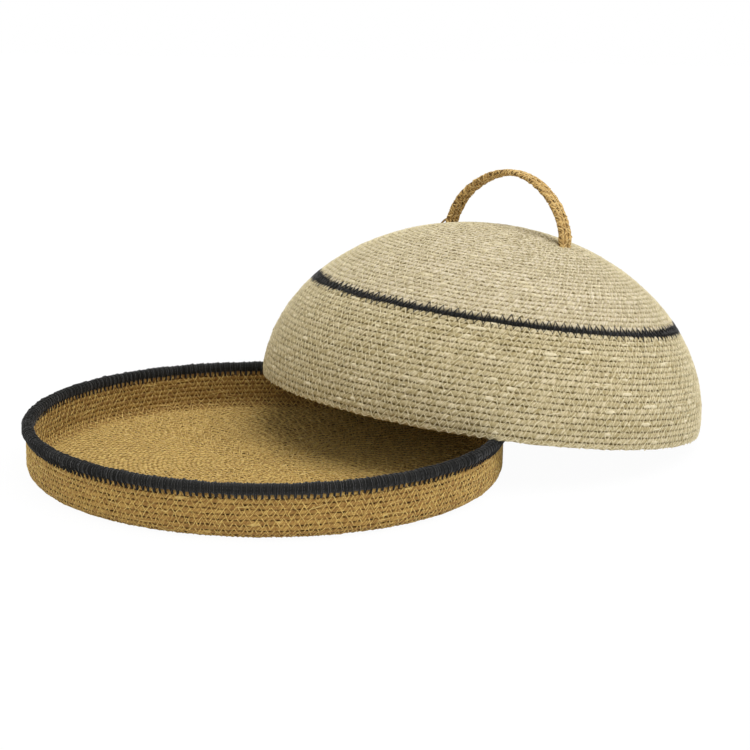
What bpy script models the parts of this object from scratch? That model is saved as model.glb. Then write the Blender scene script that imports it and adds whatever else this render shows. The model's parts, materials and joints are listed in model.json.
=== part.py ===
"""A round food cover of coiled seagrass: a shallow tray, and a domed cover with a strap handle.

Tray and cover are each wound from one long cord. The cord starts at the middle and goes round and
round, every turn sewn to the one before it, so each wall is one unbroken spiral of rows. The cover
lies as it is put down beside a meal: its hem crosses the tray's rim at two places and touches the
table at its far side. The origin is the middle of the tray's underside, and lengths are in metres.
"""

import math

import bmesh
import bpy
from mathutils import Matrix, Vector

# Tray
TRAY_RADIUS = 0.1900           # over the black rim cord
TRAY_HEIGHT = 0.0423           # from the table to the top of the rim cord
RIM_OVERHANG = 0.0030          # how far the rim cord stands out past the rows of the wall
TRAY_CORNER_RADIUS = 0.0115    # round the outside of the bottom corner
TRAY_ROW = 0.0038              # from one row of cord to the next
TRAY_THICKNESS = 0.0040        # through the middle of a row
TRAY_SEAM_THICKNESS = 0.0026   # through the seam between two rows
RIM_CORD = 0.0086              # diameter of the black cord round the rim

# Cover
COVER_RADIUS = 0.1865
COVER_HEIGHT = 0.1495          # from the hem to the top of the crown
COVER_ROW = 0.00445
COVER_THICKNESS = 0.0046
COVER_SEAM_THICKNESS = 0.0030
HEM_TURN_IN = 0.0010           # how far the hem leans inwards
HEM_TURN_HEIGHT = 0.0090
BAND_HEIGHT = 0.0852           # of the black row above the hem

# Handle: three cords side by side, through a slot at each foot and folded flat inside
HANDLE_CORD = 0.0054           # diameter
HANDLE_HALF_SPAN = 0.0580
HANDLE_OFF_CENTRE = 0.0027     # its middle is this far from the crown's, towards its right foot
HANDLE_RISE = 0.0522           # above the feet
HANDLE_YAW = math.radians(-38.5)
HANDLE_ROUNDNESS_SHARE = 0.91  # 1 would be a true ellipse, less is more pointed
HANDLE_FOLD_RADIUS = 0.0034    # where the cords fold under the crown
HANDLE_TAIL = 0.0180
HANDLE_TAIL_SEAT = 0.0006      # from the tails to the inside of the crown
HANDLE_SLOT_CLEARANCE = 0.0006

# How the cover lies
COVER_OFFSET = 0.2143          # from the tray's centre to the cover's, seen from above
COVER_BEARING = math.radians(35.3)
GAP = 0.0003                   # between pieces that touch
OVERRUN = 0.0100               # of a cutter past what it cuts

# Facets
TURN_SEGMENTS = 32
COARSE_RADIUS = 0.0750         # inside it a turn has half the segments
COARSEST_RADIUS = 0.0160       # inside it a turn has a quarter of them
PLAIN_STEP = 0.0200            # between the rings of a plain inner side
RIM_SEGMENTS = 48
CORD_SIDES = 8
ARCH_STEPS = 16
FOLD_STEPS = 4
ARC_STEPS = 24
DOME_STEPS = 400

NATURAL_GRASS = "#C2B288"
BROWN_GRASS = "#A9884A"
HANDLE_GRASS = "#AE9257"
BLACK_GRASS = "#26251F"


def remove_everything():
    for item in list(bpy.data.objects):
        bpy.data.objects.remove(item, do_unlink=True)


def linear(channel):
    """One sRGB channel, 0 to 1, as linear light."""
    if channel <= 0.04045:
        return channel / 12.92
    return ((channel + 0.055) / 1.055) ** 2.4


def grass(name, colour, roughness):
    """Dry plant fibre: no metal in it and hardly any gloss."""
    material = bpy.data.materials.new(name)
    material.use_nodes = True
    surface = material.node_tree.nodes["Principled BSDF"]
    rgb = [linear(int(colour[i:i + 2], 16) / 255) for i in (1, 3, 5)]
    surface.inputs["Base Color"].default_value = (*rgb, 1.0)
    surface.inputs["Roughness"].default_value = roughness
    surface.inputs["Metallic"].default_value = 0.0
    return material


class Meridian:
    """The middle of a wall from the centre outwards, as radius and height along its length."""

    def __init__(self, points, outside):
        self.points = [Vector(point) for point in points]
        self.outside = outside  # 1 where the outside is on the right of the way, -1 on the left
        self.along = [0.0]
        for here, after in zip(self.points, self.points[1:]):
            self.along.append(self.along[-1] + (after - here).length)
        self.length = self.along[-1]

    def at(self, s, offset=0.0):
        """Radius and height at the length s, moved out of the wall by offset."""
        s = min(max(s, 0.0), self.length)
        low, high = 0, len(self.along) - 1
        while high - low > 1:
            middle = (low + high) // 2
            if self.along[middle] <= s:
                low = middle
            else:
                high = middle
        start, end = self.points[low], self.points[high]
        share = (s - self.along[low]) / (self.along[high] - self.along[low])
        way = (end - start).normalized()
        normal = Vector((way.y, -way.x)) * self.outside
        return start.lerp(end, share) + normal * offset

    def where_radius_is(self, radius):
        """The length at which the radius is first reached."""
        for s, point in zip(self.along, self.points):
            if point.x >= radius:
                return s
        return self.length


class Winding:
    """Some turns of the spiral of rows, as one closed body.

    Turn number t starts at the length t * pitch of the meridian and is a whole turn long, so the
    spiral moves out by one row in each turn. A row has a crest in its middle and shares the seams
    at its edges with its neighbours. The last turn of a wall runs out to nothing along a level edge.
    """

    def __init__(self, meridian, pitch, first, last, thickness, seam, level_end=False):
        self.meridian = meridian
        self.pitch = pitch
        self.first = first
        self.last = last
        self.half = {"crest": thickness / 2, "seam": seam / 2}
        self.level_end = level_end
        self.bm = bmesh.new()
        self.made = {}

    def segments(self, turn):
        radius = self.meridian.at(self.pitch * (turn + 1)).x
        if radius < COARSEST_RADIUS:
            return TURN_SEGMENTS // 4
        if radius < COARSE_RADIUS:
            return TURN_SEGMENTS // 2
        return TURN_SEGMENTS

    def seam_length(self, k):
        """Where the seam is after k segments of the spiral, along the meridian."""
        if self.level_end:
            k = min(k, self.last * TURN_SEGMENTS)
        return self.pitch * k / TURN_SEGMENTS

    def vertex(self, key, s, offset, k, shift=0.0):
        if key not in self.made:
            radius, height = self.meridian.at(s, offset)
            angle = math.tau * k / TURN_SEGMENTS
            if shift:
                angle += shift / radius
            place = (radius * math.cos(angle), radius * math.sin(angle), height)
            self.made[key] = self.bm.verts.new(place)
        return self.made[key]

    def seam(self, k, side, inner, depth="seam"):
        """A point of the seam on one side of the wall, held back by half the gap at an end."""
        start = self.first * TURN_SEGMENTS
        end = self.last * TURN_SEGMENTS
        alone = self.last == self.first + 1 and not self.level_end
        if self.level_end and k == end + TURN_SEGMENTS:
            k = end
        s = self.seam_length(k)
        shift = 0.0
        if self.first > 0 and k <= start + TURN_SEGMENTS and (inner or not alone):
            s += GAP / 2
            if k == start:
                shift = GAP
        elif not self.level_end and k >= end:
            s -= GAP / 2
            if k == end + TURN_SEGMENTS:
                shift = -GAP
        row = "start" if alone and inner else "row"
        return self.vertex((row, k, side), s, side * self.half[depth], k, shift)

    def crest(self, k, side):
        if self.level_end and k == self.last * TURN_SEGMENTS:
            return self.seam(k, side, False)
        low, high = self.seam_length(k), self.seam_length(k + TURN_SEGMENTS)
        swell = (self.half["crest"] - self.half["seam"]) * min(1.0, (high - low) / self.pitch)
        shift = 0.0
        if self.first > 0 and k == self.first * TURN_SEGMENTS:
            shift = GAP
        elif k == self.last * TURN_SEGMENTS:
            shift = -GAP
        offset = side * (self.half["seam"] + swell)
        return self.vertex(("crest", k, side), (low + high) / 2, offset, k, shift)

    def face(self, points):
        """A face through the points, leaving out a point that comes twice running."""
        kept = []
        for point in points:
            if point not in kept:
                kept.append(point)
        if len(kept) > 2:
            self.bm.faces.new(kept)

    def fan(self, points):
        """Triangles that all start at the first point, where a side has a point in its middle."""
        for here, after in zip(points[1:], points[2:]):
            self.face([points[0], here, after])

    def rows(self, side):
        """The ridged surface of the rows on one side of the wall, 1 outside and -1 inside."""
        for turn in range(self.first, self.last):
            step = TURN_SEGMENTS // self.segments(turn)
            next_step = TURN_SEGMENTS // self.segments(turn + 1)
            for k in range(turn * TURN_SEGMENTS, (turn + 1) * TURN_SEGMENTS, step):
                low = [self.seam(k, side, True), self.seam(k + step, side, True)]
                crests = [self.crest(k, side), self.crest(k + step, side)]
                high = [self.seam(k + TURN_SEGMENTS + more, side, False)
                        for more in range(0, step + 1, next_step)]
                self.face([low[0], low[1], crests[1], crests[0]])
                self.face([crests[0], crests[1]] + high[::-1])
        if self.first == 0:
            step = TURN_SEGMENTS // self.segments(0)
            self.fan([self.seam(k, side, True) for k in range(0, TURN_SEGMENTS + 1, step)])
            start = [self.seam(0, side, True), self.crest(0, side)]
            self.face(start + [self.seam(TURN_SEGMENTS, side, True)])

    def plain_ring(self, s, side):
        offset = side * self.half["crest"]
        return [self.vertex(("ring", s, k, side), s, offset, k) for k in range(TURN_SEGMENTS)]

    def plain(self, side):
        """A smooth surface on one side of the wall, from the first turn's edge to the last's."""
        start, end = self.first * TURN_SEGMENTS, self.last * TURN_SEGMENTS
        low = self.pitch * (self.first + 2) if self.first else PLAIN_STEP
        high = self.seam_length(end) - (0.0 if self.level_end else self.pitch)
        spans = max(1, round((high - low) / PLAIN_STEP))
        lengths = [low + (high - low) * i / spans for i in range(spans + 1)]
        if self.level_end:
            lengths.pop()
        rings = [self.plain_ring(s, side) for s in lengths]
        if self.level_end:
            rings.append([self.seam(end + i, side, False) for i in range(TURN_SEGMENTS)])
        for near, far in zip(rings, rings[1:]):
            for i in range(TURN_SEGMENTS):
                after = (i + 1) % TURN_SEGMENTS
                self.face([near[i], near[after], far[after], far[i]])
        if self.first == 0:
            centre = self.vertex(("centre", side), 0.0, side * self.half["crest"], 0)
            for i in range(TURN_SEGMENTS):
                self.face([centre, rings[0][i], rings[0][(i + 1) % TURN_SEGMENTS]])
        else:
            edge = [self.seam(start + i, side, True, "crest") for i in range(TURN_SEGMENTS + 1)]
            ring = rings[0]
            self.fan([edge[1], ring[1], ring[0], edge[-1], edge[0]])
            for i in range(1, TURN_SEGMENTS):
                after = (i + 1) % TURN_SEGMENTS
                self.face([edge[i], edge[i + 1], ring[after], ring[i]])
        if not self.level_end:
            edge = [self.seam(end + i, side, False, "crest") for i in range(TURN_SEGMENTS + 1)]
            ring = rings[-1]
            for i in range(TURN_SEGMENTS - 1):
                self.face([ring[i], ring[i + 1], edge[i + 1], edge[i]])
            self.fan([ring[-1], ring[0], edge[0], edge[-1], edge[-2]])

    def edges(self, ridged):
        """The narrow faces that close the wall between its two sides, and the cord's cut ends."""
        if self.first > 0:
            self.edge_strip(self.first, True)
            self.cord_end(self.first, ridged)
        self.edge_strip(self.last, False)
        if not self.level_end:
            self.cord_end(self.last, ridged)

    def edge_strip(self, turn, inner):
        for k in range(turn * TURN_SEGMENTS, (turn + 1) * TURN_SEGMENTS):
            near = [self.seam(k, side, inner) for side in (1, -1)]
            far = [self.seam(k + 1, side, inner) for side in (-1, 1)]
            self.face(near + far)

    def cord_end(self, turn, ridged):
        k = turn * TURN_SEGMENTS
        ends = []
        for side in (1, -1):
            points = [self.seam(k, side, True), self.seam(k + TURN_SEGMENTS, side, False)]
            if side in ridged:
                points.insert(1, self.crest(k, side))
            ends.append(points)
        self.face(ends[0] + ends[1][::-1])

    def build(self, ridged):
        """The whole body, with rows on the ridged sides and a smooth surface on the others."""
        for side in (1, -1):
            if side not in ridged:
                self.plain(side)
        for side in ridged:
            self.rows(side)
        self.edges(ridged)
        bmesh.ops.recalc_face_normals(self.bm, faces=self.bm.faces)
        return self.bm


def make_object(name, data, material, parent=None):
    item = bpy.data.objects.new(name, data)
    bpy.context.scene.collection.objects.link(item)
    item.data.materials.append(material)
    item.parent = parent
    return item


def wound(name, winding, ridged, material, parent=None):
    mesh = bpy.data.meshes.new(name)
    winding.build(ridged).to_mesh(mesh)
    winding.bm.free()
    mesh.shade_smooth()
    mesh.set_sharp_from_angle(angle=math.radians(50.0))
    return make_object(name, mesh, material, parent)


def tray_meridian():
    """Flat floor, rounded corner and upright wall, up to just under the rim cord."""
    half = TRAY_THICKNESS / 2
    radius = TRAY_RADIUS - RIM_OVERHANG - half
    corner = TRAY_CORNER_RADIUS - half
    points = [(0.0, half)]
    for i in range(ARC_STEPS + 1):
        turn = math.radians(90.0) * i / ARC_STEPS
        bend = (math.sin(turn) * corner, (1 - math.cos(turn)) * corner)
        points.append((radius - corner + bend[0], half + bend[1]))
    points.append((radius, TRAY_HEIGHT - RIM_CORD - GAP))
    return Meridian(points, 1)


def cover_meridian():
    """Half an ellipse from the top of the crown to the hem, which leans in a little."""
    half = COVER_THICKNESS / 2
    foot = COVER_ROW / 2
    points = []
    for i in range(DOME_STEPS + 1):
        turn = math.radians(90.0) * (1 - i / DOME_STEPS)
        radius = (COVER_RADIUS - half) * math.cos(turn)
        height = foot + (COVER_HEIGHT - half - foot) * math.sin(turn)
        points.append([radius, height])
    points.append([COVER_RADIUS - half, 0.0])
    for point in points:
        lean = max(0.0, 1 - point[1] / HEM_TURN_HEIGHT)
        point[0] -= HEM_TURN_IN * lean ** 1.5
    return Meridian(points, -1)


def build_tray(brown, black):
    meridian = tray_meridian()
    turns = round(meridian.length / TRAY_ROW)
    pitch = meridian.length / turns
    flat = int((TRAY_RADIUS - RIM_OVERHANG - TRAY_CORNER_RADIUS) / pitch)
    sizes = (TRAY_THICKNESS, TRAY_SEAM_THICKNESS)
    floor = Winding(meridian, pitch, 0, flat, *sizes)
    wound("tray_floor", floor, (-1,), brown)
    wall = Winding(meridian, pitch, flat, turns, *sizes, level_end=True)
    wound("tray_wall", wall, (1, -1), brown)

    bpy.ops.mesh.primitive_torus_add(
        major_radius=TRAY_RADIUS - RIM_CORD / 2, minor_radius=RIM_CORD / 2,
        major_segments=RIM_SEGMENTS, minor_segments=CORD_SIDES)
    rim = bpy.context.object
    rim.name = "tray_rim_cord"
    rim.location.z = TRAY_HEIGHT - RIM_CORD / 2
    rim.data.materials.append(black)
    rim.data.shade_smooth()


def cover_frame(meridian):
    """An empty at the middle of the hem, tilted as the cover lies.

    The hem rests on the rim where the two circles cross, and on the table at its lowest point.
    """
    rim = TRAY_RADIUS - RIM_CORD / 2
    edge = meridian.at(meridian.length, COVER_SEAM_THICKNESS / 2)
    crossing = (COVER_OFFSET ** 2 + rim ** 2 - edge.x ** 2) / (2 * COVER_OFFSET)
    tilt = math.asin((TRAY_HEIGHT + GAP) / (COVER_OFFSET - crossing + edge.x))
    frame = bpy.data.objects.new("cover_frame", None)
    bpy.context.scene.collection.objects.link(frame)
    bearing = Vector((math.cos(COVER_BEARING), math.sin(COVER_BEARING), 0.0))
    axis = Vector((-bearing.y, bearing.x, 0.0))
    place = bearing * COVER_OFFSET
    place.z = edge.x * math.sin(tilt) - edge.y * math.cos(tilt)
    frame.matrix_world = Matrix.Translation(place) @ Matrix.Rotation(tilt, 4, axis)
    print("cover tilt in degrees:", round(math.degrees(tilt), 2))
    return frame


def build_cover(frame, meridian, natural, black):
    """The rows of the cover: the pale crown, one black row, and the pale skirt down to the hem."""
    turns = round(meridian.length / COVER_ROW)
    pitch = meridian.length / turns
    band = next(s for s, point in zip(meridian.along, meridian.points) if point.y <= BAND_HEIGHT)
    black_turn = round(band / pitch) - 1
    sizes = (COVER_THICKNESS, COVER_SEAM_THICKNESS)
    crown = Winding(meridian, pitch, 0, black_turn, *sizes)
    ring = Winding(meridian, pitch, black_turn, black_turn + 1, *sizes)
    skirt = Winding(meridian, pitch, black_turn + 1, turns, *sizes, level_end=True)
    pieces = [
        wound("cover_crown", crown, (1,), natural, frame),
        wound("cover_band_cord", ring, (1, -1), black, frame),
        wound("cover_skirt", skirt, (1,), natural, frame),
    ]
    # the spiral begins a quarter turn from the side that lies on the table
    for piece in pieces:
        piece.rotation_euler.z = COVER_BEARING + math.radians(90.0)
    return pieces[0]


def foot_radius(side):
    """How far a foot of the handle is from the middle of the crown, 1 right and -1 left."""
    return HANDLE_HALF_SPAN + side * HANDLE_OFF_CENTRE


def foot_height(meridian, side):
    foot_s = meridian.where_radius_is(foot_radius(side))
    return meridian.at(foot_s, COVER_THICKNESS / 2).y


def handle_end(meridian, side):
    """The fold under the crown and the tail of one cord, from its foot inwards, as (x, z)."""
    foot_x = foot_radius(side)
    foot_s = meridian.where_radius_is(foot_x)
    under = -(COVER_THICKNESS + HANDLE_CORD) / 2 - HANDLE_TAIL_SEAT
    inner = meridian.at(foot_s, under)
    before = meridian.at(foot_s - HANDLE_TAIL, under)
    slope = math.atan2(before.y - inner.y, inner.x - before.x)
    corner_z = inner.y - (foot_x - inner.x) * math.tan(slope)
    reach = HANDLE_FOLD_RADIUS / math.tan(math.radians(45.0) - slope / 2)
    middle = (foot_x - HANDLE_FOLD_RADIUS, corner_z + reach)
    points = []
    for i in range(FOLD_STEPS + 1):
        turn = (math.radians(90.0) + slope) * i / FOLD_STEPS
        points.append((middle[0] + math.cos(turn) * HANDLE_FOLD_RADIUS,
                       middle[1] - math.sin(turn) * HANDLE_FOLD_RADIUS))
    points += [tuple(meridian.at(foot_s - HANDLE_TAIL * share, under)) for share in (0.6, 1.0)]
    return [(side * x, z) for x, z in points]


def handle_path(meridian):
    """One cord of the handle, from the end of one tail to the end of the other, as (x, z)."""
    right, left = foot_height(meridian, 1), foot_height(meridian, -1)
    power = 1 / HANDLE_ROUNDNESS_SHARE
    arch = []
    for i in range(ARCH_STEPS + 1):
        turn = math.pi * i / ARCH_STEPS
        side = 1 if i * 2 <= ARCH_STEPS else -1
        across = side * abs(math.cos(turn)) ** power
        base = (right + left) / 2 + across * (right - left) / 2
        arch.append((across * HANDLE_HALF_SPAN + HANDLE_OFF_CENTRE,
                     base + math.sin(turn) ** power * HANDLE_RISE))
    return handle_end(meridian, 1)[::-1] + arch + handle_end(meridian, -1)


def build_handle(frame, meridian, grass_material):
    path = handle_path(meridian)
    cords = ("near", "middle", "far")
    for i, name in enumerate(cords):
        curve = bpy.data.curves.new("handle_cord_" + name, "CURVE")
        curve.dimensions = "3D"
        curve.twist_mode = "MINIMUM"
        curve.bevel_depth = HANDLE_CORD / 2
        curve.bevel_resolution = CORD_SIDES // 2 - 2
        curve.render_resolution_u = 0
        curve.use_fill_caps = True
        spline = curve.splines.new("POLY")
        spline.points.add(len(path) - 1)
        across = (i - 1) * (HANDLE_CORD + GAP)
        for point, (x, z) in zip(spline.points, path):
            point.co = (x, across, z, 1.0)
        cord = make_object("handle_cord_" + name, curve, grass_material, frame)
        cord.rotation_euler.z = HANDLE_YAW


def cut_slots(crown, frame, meridian):
    """One slot through the crown under each foot of the handle, for all three cords."""
    width = 3 * HANDLE_CORD + 2 * GAP + 2 * HANDLE_SLOT_CLEARANCE
    length = HANDLE_CORD + 2 * HANDLE_SLOT_CLEARANCE
    for end, side in (("right", 1), ("left", -1)):
        bpy.ops.mesh.primitive_cube_add(size=1)
        cutter = bpy.context.object
        cutter.name = "slot_cutter_" + end
        size = Matrix.Diagonal((length, width, 2 * OVERRUN, 1.0))
        place = Matrix.Translation((side * foot_radius(side), 0.0, foot_height(meridian, side)))
        cutter.data.transform(Matrix.Rotation(HANDLE_YAW, 4, "Z") @ place @ size)
        cutter.parent = frame
        cutter.hide_render = True
        cutter.display_type = "WIRE"
        cut = crown.modifiers.new("slot_" + end, "BOOLEAN")
        cut.operation = "DIFFERENCE"
        cut.solver = "EXACT"
        cut.object = cutter


def main():
    remove_everything()
    natural = grass("bleached_seagrass", NATURAL_GRASS, 0.85)
    brown = grass("brown_seagrass", BROWN_GRASS, 0.80)
    strap = grass("handle_seagrass", HANDLE_GRASS, 0.80)
    black = grass("black_seagrass", BLACK_GRASS, 0.85)
    build_tray(brown, black)
    meridian = cover_meridian()
    frame = cover_frame(meridian)
    crown = build_cover(frame, meridian, natural, black)
    build_handle(frame, meridian, strap)
    cut_slots(crown, frame, meridian)


main()
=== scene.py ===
# %% [markdown]
# A food cover made of coiled seagrass
#
# The real object has hardly any plain surface. A long cord of twisted grass is laid in a spiral and
# sewn to itself with a zigzag, row after row, first flat for the bottom and then up for the walls.
# A smooth shell with a picture of rows on it would fall apart in a close view, so this lesson lays
# the cords themselves, as curves with a round bevel, and then sews every seam with real thread.
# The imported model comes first. It is the fixed frame that every cord is laid in.

# %% The fixed model
import json
import math

import bmesh
import bpy
import numpy as np
from mathutils import Matrix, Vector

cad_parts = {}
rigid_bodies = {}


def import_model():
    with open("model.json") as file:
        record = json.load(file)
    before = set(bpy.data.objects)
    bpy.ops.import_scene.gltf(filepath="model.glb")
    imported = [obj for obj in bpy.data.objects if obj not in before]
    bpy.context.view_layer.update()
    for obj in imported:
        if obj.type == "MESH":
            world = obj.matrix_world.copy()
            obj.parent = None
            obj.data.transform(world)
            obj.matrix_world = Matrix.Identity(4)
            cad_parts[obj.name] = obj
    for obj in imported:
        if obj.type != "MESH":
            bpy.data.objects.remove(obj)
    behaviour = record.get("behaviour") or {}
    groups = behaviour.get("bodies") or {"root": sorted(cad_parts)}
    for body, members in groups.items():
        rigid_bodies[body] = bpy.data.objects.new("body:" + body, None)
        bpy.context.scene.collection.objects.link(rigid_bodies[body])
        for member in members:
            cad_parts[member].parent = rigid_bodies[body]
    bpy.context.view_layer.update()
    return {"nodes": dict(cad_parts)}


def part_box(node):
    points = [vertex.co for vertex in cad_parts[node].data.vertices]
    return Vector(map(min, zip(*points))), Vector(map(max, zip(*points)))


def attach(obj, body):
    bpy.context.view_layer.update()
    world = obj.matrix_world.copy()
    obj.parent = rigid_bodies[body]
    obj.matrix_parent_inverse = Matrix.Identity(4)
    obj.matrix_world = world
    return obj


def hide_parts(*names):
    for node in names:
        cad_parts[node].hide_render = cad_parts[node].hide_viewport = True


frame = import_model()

for item in [item for item in bpy.data.objects if item.name in ("Cube", "Light", "Camera")]:
    bpy.data.objects.remove(item)
print("pieces of the packed model:", sorted(frame["nodes"]))

# %% [markdown]
# Sizes
#
# The tray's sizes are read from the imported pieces: the rim cord gives the radius, the height and
# its own thickness, and the wall gives the radius of the rows. The cover lies tilted, so its boxes
# don't show its sizes, and they are named here as real measures. The rows of cord are about 4 mm
# wide, a little more than half the thickness of a pencil.

# %% Sizes of the tray and of its cord
MM = 0.001
rim_low, rim_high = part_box("tray_rim_cord")
TRAY_RADIUS = rim_high.x
TRAY_HEIGHT = rim_high.z
RIM_CORD = rim_high.z - rim_low.z
WALL_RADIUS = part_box("tray_wall")[1].x
TRAY_CORNER = 11.5 * MM    # round the outside of the bottom corner
TRAY_ROW = 3.8 * MM        # from one row to the next
TRAY_THICKNESS = 4.0 * MM  # through the wall, in the middle of a row
RIM_SINKS = 0.9 * MM       # how far the rim cord is pulled down onto the wall
CORD_FULLNESS = 1.30       # a cord is wider than its row, so that the rows press together
print("tray radius, height and rim cord in mm:",
      [round(size / MM, 1) for size in (TRAY_RADIUS, TRAY_HEIGHT, RIM_CORD)])

# %% Sizes of the cover
COVER_RADIUS = 186.5 * MM
COVER_HEIGHT = 149.5 * MM
COVER_ROW = 4.45 * MM
COVER_THICKNESS = 4.6 * MM
HEM_TURN_IN = 1.0 * MM
HEM_TURN_HEIGHT = 9.0 * MM
BAND_HEIGHT = 85.2 * MM    # of the black row above the hem
COVER_OFFSET = 214.3 * MM  # from the middle of the tray to the middle of the cover
COVER_BEARING = math.radians(35.3)
SEAM_THICKNESS = 3.0 * MM  # through the wall, between two rows
GAP = 0.3 * MM             # between the hem and the rim cord it rests on
print("cover radius, height and row in mm:",
      [round(size / MM, 2) for size in (COVER_RADIUS, COVER_HEIGHT, COVER_ROW)])

# %% [markdown]
# A wall as a line and a spiral
#
# Both walls are round, so one line from the middle outwards describes each: flat, round a corner and
# up for the tray, half an ellipse for the cover. The cord then winds round that line and moves along
# it by one row in each turn. A Screw modifier could wind a simple coil, but not one that follows a
# curved line, so the places are worked out with a formula and a point on the wall has three
# numbers: how many turns the cord has made, how far along the line it is, and how far out of the
# wall it stands.
#
# A spiral ends with a step as high as a row. Basket makers hide it: the last rows are eased down to
# a level edge, and in the last hand's breadth they slip past the thinning end of the cord.

# %% A wound wall
EASED_ROWS = 12         # rows that are eased to make the edge level
END_SHARE = 0.10        # of the last turn, in which the cord thins out
TIP_SHARE = 0.15        # of its thickness, which the cord still has at its tip
WIDEST_ROW_SHARE = 1.3  # where rows are eased apart, a cord swells by no more than this
TURN_MARKS = 4000       # places between which the length of the cord is added up


def lengths_of(line):
    """The length of a line from its start to each of its points."""
    return np.concatenate([[0.0], np.cumsum(np.hypot(*np.diff(line, axis=0).T))])


class Wall:
    """A round wall of cord: where its rows lie, and where a point on its surface is."""

    def __init__(self, radius, height, row, thickness, out, start, matrix, slits=()):
        line = np.column_stack([radius, height])
        self.line = line
        self.along = lengths_of(line)
        way = np.gradient(line, self.along, axis=0)
        way /= np.linalg.norm(way, axis=1)[:, None]
        self.normal = np.column_stack([way[:, 1], -way[:, 0]]) * out
        self.length = self.along[-1]
        self.turns = round(self.length / row)
        self.row = self.length / self.turns
        self.top = thickness / 2
        self.flatness = thickness / (self.row * CORD_FULLNESS)
        self.end = self.turns - 1
        self.start = start
        self.matrix = np.array(matrix)
        self.slits = slits
        self.turn_marks = np.linspace(0.0, self.end, TURN_MARKS)
        radii = np.interp(self.row_centre(self.turn_marks), self.along, line[:, 0])
        pieces = math.tau * (radii[1:] + radii[:-1]) / 2 * np.diff(self.turn_marks)
        self.cord_marks = np.concatenate([[0.0], np.cumsum(pieces)])

    def row_centre(self, turns):
        """How far along the line the middle of the row is, after so many turns."""
        turns = np.asarray(turns, float)
        phase = turns % 1.0
        late = np.clip((phase - 1 + END_SHARE) / END_SHARE, 0, 1)
        late = late * late * (3 - 2 * late)
        slack = np.where(late > 0, END_SHARE + (1 - END_SHARE) * late, 1 - phase)
        eased = np.clip((turns + 1 - self.end + EASED_ROWS) / EASED_ROWS, 0, 1)
        centre = self.row * (turns + 0.5 + slack * eased)
        return np.minimum(centre, self.length - self.row / 2 * self.taper(turns))

    def spacing(self, turns):
        """How far apart the rows are here, as a share of the usual distance."""
        apart = self.row_centre(turns + 1) - self.row_centre(turns - 1)
        return np.clip(apart / 2 / self.row, 1.0, WIDEST_ROW_SHARE)

    def taper(self, turns):
        """The share of its thickness that the cord still has, which falls at its end."""
        left = np.clip((self.end - np.asarray(turns, float)) / END_SHARE, 0, 1)
        return TIP_SHARE + (1 - TIP_SHARE) * np.sqrt(left)

    def cord_length(self, turns):
        """How many metres of cord there are from the middle to here."""
        return np.interp(turns, self.turn_marks, self.cord_marks)

    def turns_at(self, cord):
        """How many turns have been made after so many metres of cord."""
        return np.interp(cord, self.cord_marks, self.turn_marks)

    def in_plane(self, along, out):
        """Distance from the middle and height of a place, and the way out of the wall there."""
        radius, height = [np.interp(along, self.along, self.line[:, i]) for i in (0, 1)]
        side, up = [np.interp(along, self.along, self.normal[:, i]) for i in (0, 1)]
        return radius + side * out, height + up * out, side, up

    def at(self, turns, along, out):
        """Points in the world, and the way out of the wall there."""
        angle = math.tau * np.asarray(turns, float) + self.start
        for slit_angle, slit_along in self.slits:
            along = along + parted(angle - slit_angle, along - slit_along, slit_along)
        radius, height, side, up = self.in_plane(along, out)
        height = height - np.maximum(along - self.length, 0.0) * np.abs(side)
        local = np.column_stack([radius * np.cos(angle), radius * np.sin(angle), height])
        facing = np.column_stack([side * np.cos(angle), side * np.sin(angle), up])
        turn, shift = self.matrix[:3, :3], self.matrix[:3, 3]
        return local @ turn.T + shift, facing @ turn.T


# %% [markdown]
# Where the strap goes through
#
# The two feet of the handle are pushed between two rows of the crown. The rows part there, like
# the lips of a buttonhole, and close again a finger's breadth away. The same function moves the
# cord and the thread that sews it, so they stay together.

# %% Rows that part round a slit
SLIT_HALF = 10.5 * MM  # half the length of a slit
SLIT_OPEN = 2.2 * MM   # how far each lip moves
SLIT_REACH = 7.0 * MM  # how far from the slit the rows still move
SLIT_EDGE = 1.0 * MM   # beside the middle, in which one lip gives way to the other


def parted(angle, beside, radius):
    """How far a place moves along the wall, from its angle and distance from a slit."""
    turned = (angle + math.pi) % math.tau - math.pi
    across = np.exp(-np.abs(turned * radius / SLIT_HALF) ** 4)
    return SLIT_OPEN * np.tanh(beside / SLIT_EDGE) * np.exp(-np.abs(beside) / SLIT_REACH) * across


print("a slit is", round(2 * SLIT_HALF / MM), "mm long and", round(2 * SLIT_OPEN / MM, 1), "mm wide")


# %% The tray's line, from the middle of the floor to the top of the wall
CORNER_POINTS = 25
tray_half = TRAY_THICKNESS / 2
wall_line = WALL_RADIUS - tray_half
corner = TRAY_CORNER - tray_half
bend = np.radians(np.linspace(0, 90, CORNER_POINTS))
tray = Wall(
    radius=np.concatenate([[0.0], wall_line - corner + corner * np.sin(bend), [wall_line]]),
    height=np.concatenate([[tray_half], tray_half + corner * (1 - np.cos(bend)),
                           [TRAY_HEIGHT - RIM_CORD + RIM_SINKS]]),
    row=TRAY_ROW, thickness=TRAY_THICKNESS, out=1, start=0.0, matrix=Matrix.Identity(4))
FLAT_TURNS = int((WALL_RADIUS - TRAY_CORNER) / tray.row)
print("the tray has", tray.turns, "rows and", round(float(tray.cord_marks[-1]), 1), "m of cord")

# %% [markdown]
# How the cover lies
#
# Nobody measured the tilt of the cover. It follows from where the cover is put: its hem touches the
# table on one side and rests on the tray's rim where the two circles cross. Two triangles give the
# angle, so the cover always lies right, whatever the sizes are.

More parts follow.
